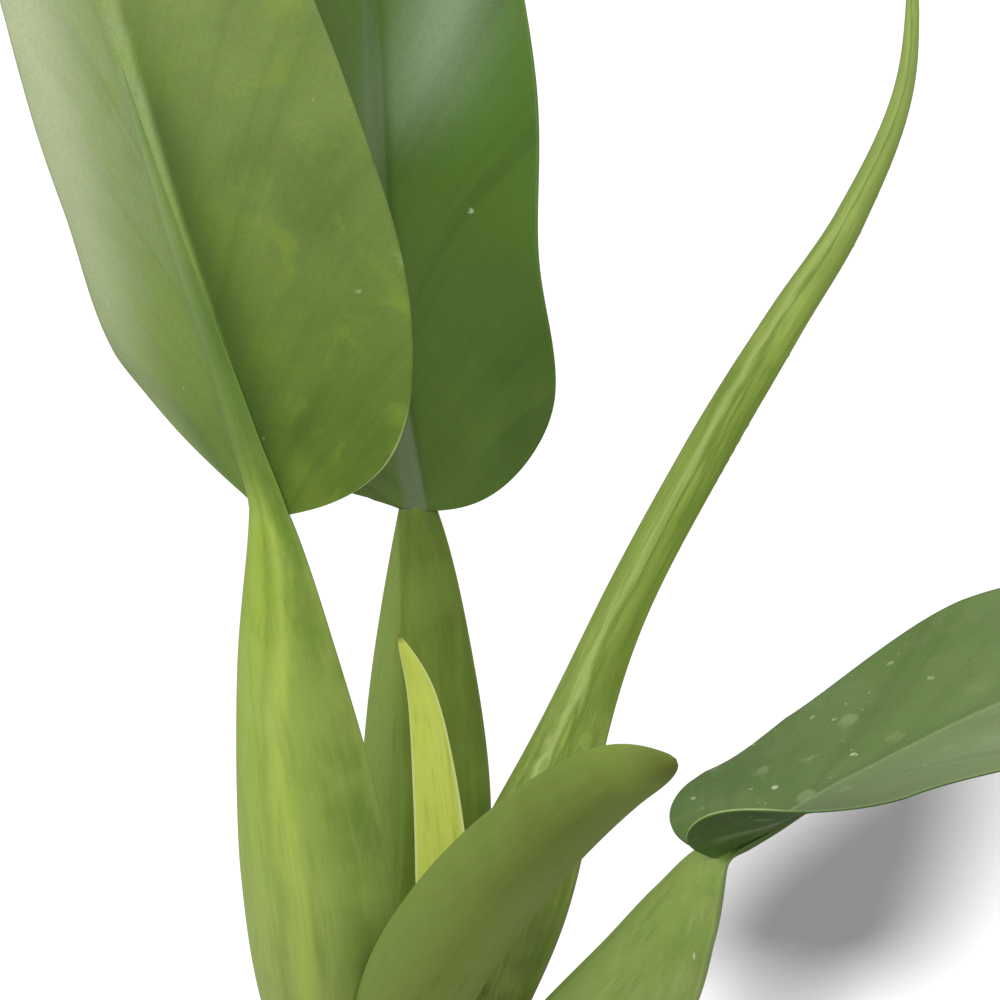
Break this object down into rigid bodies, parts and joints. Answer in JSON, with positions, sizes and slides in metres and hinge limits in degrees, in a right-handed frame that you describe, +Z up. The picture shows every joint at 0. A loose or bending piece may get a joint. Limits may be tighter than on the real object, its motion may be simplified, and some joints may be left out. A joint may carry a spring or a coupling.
{
  "type": "potted philodendron",
  "caption": "Potted philodendron martianum with upright leaves on swollen stalks, a rolled young leaf and a new spear, in a plain clay pot.",
  "frame": {"origin": "centre of the pot's underside, on the surface it stands on", "axes": "+Z up, -Y the front of the plant, +X to the right seen from the front"},
  "size_m": [0.3117, 0.1663, 0.4662],
  "materials": {
    "pot": "matt fired clay",
    "soil": "damp potting mix",
    "stem": "dull green bark with leaf scars",
    "leaf_front_left": "satin leaf, pale underside to the front",
    "leaf_back": "glossy dark leaf",
    "leaf_right": "glossy dark leaf",
    "leaf_rolled": "satin young leaf",
    "bract_front": "satin olive bract",
    "new_spear": "satin yellow-green spear"
  },
  "bodies": {
    "root": {"pot": "pot", "soil": "soil", "stem": "stem", "leaf_front_left": "leaf_front_left", "leaf_back": "leaf_back", "leaf_right": "leaf_right", "leaf_rolled": "leaf_rolled", "bract_front": "bract_front", "new_spear": "new_spear"}
  },
  "joints": []
}
